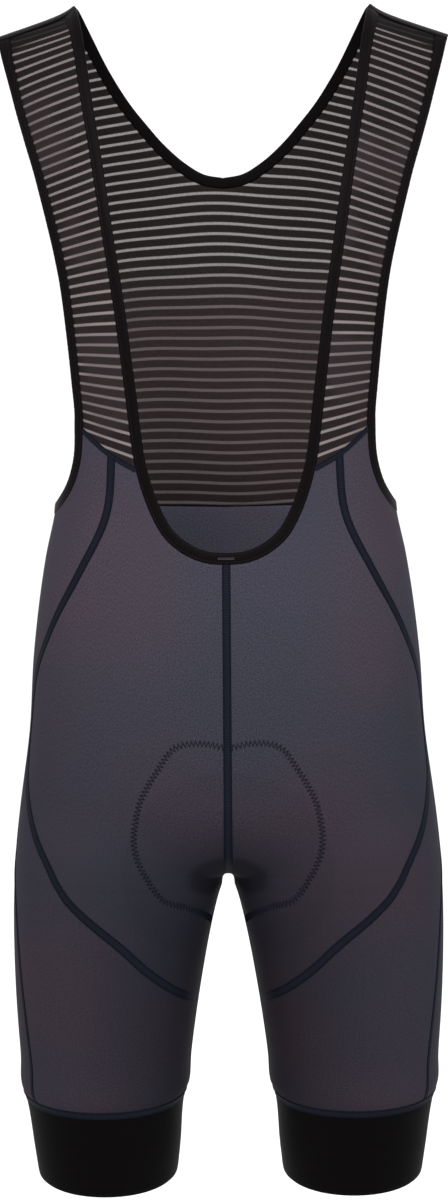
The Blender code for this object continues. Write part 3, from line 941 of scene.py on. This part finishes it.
def strapUv(points, stations):
    # a stripe runs straight on across the edge of the shoulder, where the form bends
    look = meshCut
    x, y, z = forkedRing(stations[..., 0], np.radians(stations[..., 1]))
    runs = np.arange(500.0)
    drops = smoothRow(bodyForm["body"], runs)[0]
    drop = np.interp(stations[..., 0], runs, drops)
    fall = -z - drop
    share = (x - x[:, :1]) / (x[:, -1:] - x[:, :1])
    bend = fall - fall[:, :1] * (1 - share) - fall[:, -1:] * share
    run = np.interp(drop + bend, drops, runs) / 100
    across = (stations[..., 1] - look["strapMiddle"]) / look["strapShare"]
    c = look["strapStripes"]
    count = c[0] + c[1] * run + c[2] * run**2 + (c[3] + c[4] * run + c[5] * run**2) * across
    count = count + wandering(points, stations)
    return np.stack([netUv(points)[..., 0], count * meshLook["spacing"]], axis=-1)


def backUv(points, stations):
    look = meshCut
    run, across = stations[..., 0] / 100, (180 - stations[..., 1]) / look["backShare"]
    c = look["backStripes"]
    count = c[0] + c[1] * run + (c[2] + c[3] * run) * across**2 + wandering(points, stations)
    return np.stack([points[..., 0] / mm, count * meshLook["spacing"]], axis=-1)


def makeMeshTop(e, backMesh, strapMesh):
    strap = patchNet(
        straight(e["neckStrap"][0], e["armFront"][0], 3),
        e["armFront"],
        joined(e["diagonalInner"], e["diagonalOuter"]),
        e["neckStrap"],
    )
    pairOfPieces(
        "front_strap", strap, strapMesh, meshCut["wall"], strapUv
    )
    strapFoot = straight(e["armShoulder"][0], e["backStrap"][-1], 3)
    backStrap = patchNet(
        straight(e["armShoulder"][-1], e["backStrap"][0], 3),
        e["backStrap"],
        strapFoot,
        e["armShoulder"][::-1],
    )
    back = patchNet(
        joined(strapFoot, e["backDip"]),
        straight(e["backDip"][-1], (edgeTables["waistBack"], 180), 12),
        e["waistBack"],
        e["armBack"][::-1],
    )
    shape = bmesh.new()
    for side, number in sides:
        for stations in (backStrap, back):
            points = onSide(clothPlaces(stations, 0, number), number)
            addGrid(shape, points, backUv(points, stations), bool(number))
    piece = finishPiece(shape, "back_mesh_cloth", backMesh, meshCut["wall"])
    asSheet("back_mesh")


# strips: a closed profile carried along an edge


def stripNet(columns, heights, side):
    # places of a strip from the stations and the height of each of its columns
    net = np.stack(columns, axis=1)
    heights = np.stack([np.broadcast_to(height, len(net)) for height in heights], axis=1)
    return clothPlaces(net, heights, side)


def closedUv(points, across):
    # along the strip, and the stated place across it
    along = lengthsAlong(points[:, 0]) / mm
    return np.stack(np.broadcast_arrays(np.asarray(across)[None, :], along[:, None]), axis=-1)


def bothSides(points):
    # the left half and its mirror, end to end across the centre of the body
    return np.concatenate([points, mirroredPlaces(points[-2::-1])])


# bindings

bindingLook = {
    # share of the width from the free edge, and height over the form: outside, then inside
    "profile": (
        (-0.04, 0.0), (-0.02, 0.55), (0.05, 0.95), (0.18, 1.15), (0.4, 1.2),
        (0.62, 1.15), (0.76, 1.0), (0.81, 0.82), (0.86, 1.0), (0.97, 0.98), (1.05, 0.7),
        (1.05, -0.5), (0.86, -0.75), (0.4, -0.85), (0.08, -0.7), (-0.02, -0.45),
        (-0.04, 0.0),
    ),
    "tuckedIn": 2.5,  # how far the ends run on under the shoulder band
    "ripple": 0.07,
    "rippleLength": 5.5,
    "stitchAt": 0.81,
    "stitchHeight": 0.95,
    "stitchPitch": 3.2,
    "stitchLength": 2.1,
    "threadRadius": 0.2,
    # flat length and width in metres before it is stretched on
    "frontNeck": {"flat": (0.86, 0.0105)},
    "backNeck": {"flat": (0.40, 0.0105)},
    "arm": {"flat": (0.78, 0.0105)},
}


def runOn(stations, ends):
    # stations with the shoulder ends carried on under the band
    result = stations.copy()
    for end in ends:
        result[end, 0] -= bindingLook["tuckedIn"]
    return result


def bindingPlaces(freeEdge, width, side):
    look = bindingLook
    inner = inward(freeEdge, width)
    along = lengthsAlong(placesOf(freeEdge)) / mm
    wave = look["ripple"] * np.sin(2 * math.pi * along / look["rippleLength"])
    columns = [freeEdge * (1 - share) + inner * share for share, height in look["profile"]]
    heights = [height + wave * (height > 0) for share, height in look["profile"]]
    at = look["stitchAt"]
    stitched = clothPlaces(freeEdge * (1 - at) + inner * at, look["stitchHeight"], side)
    return stripNet(columns, heights, side), stitched


def dashes(points, pitch, length):
    # short straight stitches along a line of places
    key = lengthsAlong(points)
    starts = np.arange(pitch / 2, key[-1] / mm - length, pitch) * mm
    spans = [np.linspace(start, start + length * mm, 3) for start in starts]
    return [pickedAt(span, key, points) for span in spans]


def threadPiece(name, lines, radius, material):
    # round thread along lines of places
    curve = bpy.data.curves.new(name, "CURVE")
    curve.dimensions = "3D"
    curve.bevel_depth = radius * mm
    curve.bevel_resolution = 1
    curve.use_fill_caps = True
    for line in lines:
        spline = curve.splines.new("POLY")
        spline.points.add(len(line) - 1)
        spline.points.foreach_set("co", np.column_stack([line, np.ones(len(line))]).ravel())
    source = newObject(name + "_path", curve)
    graph = bpy.context.evaluated_depsgraph_get()
    mesh = bpy.data.meshes.new_from_object(source.evaluated_get(graph))
    mesh.name = name
    bpy.data.objects.remove(source)
    mesh.materials.clear()
    return newPiece(name, mesh, material)


def stripPiece(name, points, across, material):
    shape = bmesh.new()
    addGrid(shape, points, closedUv(points, across), False)
    return finishPiece(shape, name, material, closed=True)


def makeBindings(e, bound, thread):
    look = bindingLook
    width = edgeTables["bindingWidth"]
    across = [share * width for share, height in look["profile"]]
    front, back = [runOn(e[edge], (0,)) for edge in ("neckEdge", "backNeckEdge")]
    arm = runOn(e["armEdge"], (0, -1))
    for name, edge, reach, number, cut, made in (
        ("front_neck_binding", front, width, 0, look["frontNeck"], bothSides),
        ("back_neck_binding", back, -width, 0, look["backNeck"], bothSides),
        ("armhole_binding_left", arm, -width, 0, look["arm"], np.array),
        ("armhole_binding_right", arm, -width, 1, look["arm"], mirroredPlaces),
    ):
        points, stitched = [made(places) for places in bindingPlaces(edge, reach, number)]
        piece = stripPiece(name + "_cloth", points, across, bound)
        lines = dashes(stitched, look["stitchPitch"], look["stitchLength"])
        sewn = threadPiece(name + "_stitches", lines, look["threadRadius"], thread)
        asSheet(name)


# shoulder bands

shoulderLook = {
    # run, angle at the neck, angle at the arm: back edge, ridge twice, middle and front edge
    "rows": (
        (12, 147.6, 119.6), (0, 147.5, 120.2), (0, 32.5, 59.8), (13, 32.5, 60.5),
        (26, 32.5, 61.3),
    ),
    "columns": 45,
    "steps": (12, 10, 10),  # rows of net down the back, over the ridge and down the front
    "height": 0.5,
    "wall": 1.5,
    "cut": {"flat": (0.066, 0.038), "area": 0.0021},
}


def makeShoulderBands(bound):
    look = shoulderLook
    share = np.linspace(0, 1, look["columns"])
    rows = []
    for start, end, steps in zip((0, 2, 3), (1, 3, 4), look["steps"]):
        a, b = np.array(look["rows"][start]), np.array(look["rows"][end])
        for step in np.linspace(0, 1, steps + 1)[(1 if rows else 0) :]:
            run, neck, arm = a * (1 - step) + b * step
            rows.append(np.column_stack([0 * share + run, neck + (arm - neck) * share]))
    net = np.stack(rows)
    for side, number in sides:
        points = onSide(clothPlaces(net, look["height"], number), number)
        shape = bmesh.new()
        addGrid(shape, points, netUv(points), not number)
        name = f"shoulder_band_{side}"
        piece = finishPiece(shape, name + "_cloth", bound, look["wall"])
        asSheet(name)


# leg cuffs

cuffLook = {
    # run below the leg's edge, and height over the form: outside, hem, inside
    "profile": (
        (-2.5, -0.4), (-1, 0.5), (1, 0.85), (5, 0.9), (12, 0.75), (20, 0.65), (29, 0.6),
        (38, 0.65), (47, 0.75), (56, 0.9), (62, 1.05), (65, 0.9), (66.3, 0.2),
        (65.6, -0.6), (62, -0.85), (56, -0.8), (40, -0.75), (20, -0.75), (3, -0.8),
        (-2.5, -0.7), (-2.5, -0.4),
    ),
    "cut": {"flat": (0.335, 0.064)},  # a tube: its size all round, before it is stretched
}


def makeCuffs(e, elastic):
    ring = joined(e["cuffFront"], e["cuffBack"])
    runs, heights = zip(*cuffLook["profile"])
    for side, number in sides:
        points = onSide(stripNet([ring + (run, 0) for run in runs], heights, number), number)
        name = f"cuff_{side}"
        piece = stripPiece(name + "_cloth", points, runs, elastic)
        asSheet(name)


# flatlock seams

seamLook = {
    # place across the seam, height over the form, and how much the stitches lift it
    "profile": (
        (-3.4, 0.35, 0.0), (-3.2, 0.75, 0.1), (-2.7, 0.98, 0.2), (-2.1, 0.85, 0.1),
        (-1.2, 0.82, 0.12), (0.0, 0.88, 0.14), (1.2, 0.82, 0.12), (2.1, 0.85, 0.1),
        (2.7, 0.98, 0.2), (3.2, 0.75, 0.1), (3.4, 0.35, 0.0), (3.3, 0.1, 0.0),
        (-3.3, 0.1, 0.0), (-3.4, 0.35, 0.0),
    ),
    "pitch": 2.1,
    "step": 0.53,
}


def alongRoute(route, step):
    length = lengthsAlong(placesOf(route))[-1] / mm
    return evenStations(route, max(int(length / step), 2))


def stitchedRoute(route):
    # a seam's close stations, and how far each stitch lifts it there, from 0 to 1
    route = alongRoute(route, seamLook["step"])
    along = np.arange(len(route)) * seamLook["step"]
    return route, np.abs(np.sin(math.pi * along / seamLook["pitch"]))


def seamPlaces(route, side, wide=1.0, lift=0.0):
    route, wave = stitchedRoute(route)
    columns, heights = [], []
    for place, height, rise in seamLook["profile"]:
        columns.append(moved(route, np.full(len(route), place * wide * mm)))
        heights.append(height + lift + rise * wave)
    return onSide(stripNet(columns, heights, side), side)


def centreSeamPlaces(route, back):
    # a seam on the centre of the body: its half on the left, and the mirror of that
    route, wave = stitchedRoute(route)
    sign = 1 if back else -1
    columns = []
    for place, height, rise in seamLook["profile"]:
        shift = moved(route, np.full(len(route), -abs(place) * mm * sign)) - route
        last = np.flatnonzero(route[:, 0] < bodyForm["fork"] - 4)[-1]
        shift[last:] = shift[last]  # the form folds under too sharply to measure there
        stations = route + shift * (place != 0)
        points = clothPlaces(stations, height + rise * wave, 0)
        points[:, 0] = abs(place) * mm
        columns.append(points if place > 0 else mirroredPlaces(points))
    return np.stack(columns, axis=1)


def makeSeams(e, thread):
    across = [row[0] for row in seamLook["profile"]]
    routes = (
        # name, route, share of the full width, lift
        ("seam_curved", joined(e["curveUpper"], e["curveLower"]), 1.05, 0),
        ("seam_side", e["side"], 0.5, 0),
        ("seam_strap", joined(e["diagonalInner"], e["diagonalOuter"]), 0.6, 0),
        ("seam_inner_leg", joined(e["inseamUpper"], e["inseamLower"]), 0.7, 0),
        ("seam_cuff", joined(e["cuffFront"], e["cuffBack"]) + (-1.5, 0), 0.95, 0.25),
    )
    nets = {
        "seam_centre_front": centreSeamPlaces(e["centreFront"], False),
        "seam_centre_back": centreSeamPlaces(e["centreBack"], True),
    }
    for side, number in sides:
        for name, route, wide, lift in routes:
            nets[f"{name}_{side}"] = seamPlaces(route, number, wide, lift)
    nets["seam_waist_back"] = bothSides(seamPlaces(e["waistBack"], 0, 0.6))
    for name, points in nets.items():
        stripPiece(name, points, across, thread)


# the seat pad's stitching

padLook = {
    # run and angle of the outline, from the centre front round to the centre back
    "outline": (
        (634, 0), (630, 7), (634, 13.5), (652, 17.7), (670, 21), (688, 23.4), (702, 26),
        (717, 29), (733, 32), (755, 32), (766, 25), (780, 13), (792, 1),
    ),
    "seatOutline": (
        (792, 179), (778, 166), (758, 150), (735, 145), (700, 147), (665, 153),
        (635, 161), (618, 170), (614, 180),
    ),
    "tooth": 1.7,  # half of a zigzag's pitch along the line
    "swing": 2.6,
    "height": 0.62,
    "radius": 0.3,
}


def zigzag(rows, side):
    look = padLook
    rows = np.asarray(rows, float)
    key = lengthsAlong(placesOf(rows))
    close = smoothRow(np.column_stack([key, rows]), np.linspace(0, key[-1], 400)).T
    route = alongRoute(close, look["tooth"])
    swing = look["swing"] * mm * np.where(np.arange(len(route)) % 2, 1, -1)
    swing[[0, -1]] = 0
    turned = moved(route, swing)
    fine = np.linspace(0, len(turned) - 1, 3 * len(turned) - 2)
    turned = pickedAt(fine, np.arange(len(turned)), turned)
    return onSide(clothPlaces(turned, look["height"], side), side)


tackLook = {"run": 483.0, "rows": 2, "pitch": 1.0, "reach": 2.3, "height": 1.35, "radius": 0.35}


def makeBarTack(thread):
    # a few close stitches where the front seam runs under the neck binding
    look = tackLook
    lines = []
    for row in range(look["rows"]):
        run = look["run"] + row * look["pitch"]
        stations = np.column_stack([np.full(5, run), np.linspace(0, look["reach"], 5)])
        half = clothPlaces(stations, look["height"], 0)
        lines.append(np.concatenate([mirroredPlaces(half[:0:-1]), half]))
    threadPiece("bar_tack", lines, look["radius"], thread)


def makePadStitches(thread):
    outlines = padLook["outline"], padLook["seatOutline"]
    lines = [zigzag(rows, number) for side, number in sides for rows in outlines]
    threadPiece("pad_stitches", lines, padLook["radius"], thread)


# build

addCamera()
addStudio()
print("stage: camera, light and floor")
knit = stretchKnit("charcoal stretch knit")
seat = stretchKnit("charcoal seat knit", strength=0.95)
# painted light: the inside of the seat knit is the same knit drawn 2.1 times lighter, as if lit
paintedLitInside = stretchKnit("inside of the seat knit, painted lighter", strength=2.1)
backMesh = stripedMesh("striped nylon mesh", "back")
strapMesh = stripedMesh("striped nylon mesh of the straps", "strap")
bound = ribbedElastic(*elasticLook["folded"])
band = ribbedElastic(*elasticLook["tape"])
gripper = ribbedElastic(*elasticLook["gripper"])
seamThread = flatlockThread()
darkThread = sewingThread(*sewingLook["topstitch"])
paleThread = sewingThread(*sewingLook["tack"])
navyThread = sewingThread(*sewingLook["zigzag"])
edges = layOut()
print("stage: edges laid out")
makeShorts(edges, knit, seat, paintedLitInside)
print("stage: shorts")
makeMeshTop(edges, backMesh, strapMesh)
print("stage: mesh top")
makeBindings(edges, bound, darkThread)
makeShoulderBands(band)
print("stage: bindings and shoulder bands")
makeCuffs(edges, gripper)
print("stage: cuffs")
makeSeams(edges, seamThread)
makePadStitches(navyThread)
makeBarTack(paleThread)
print("stage: seams and stitching")
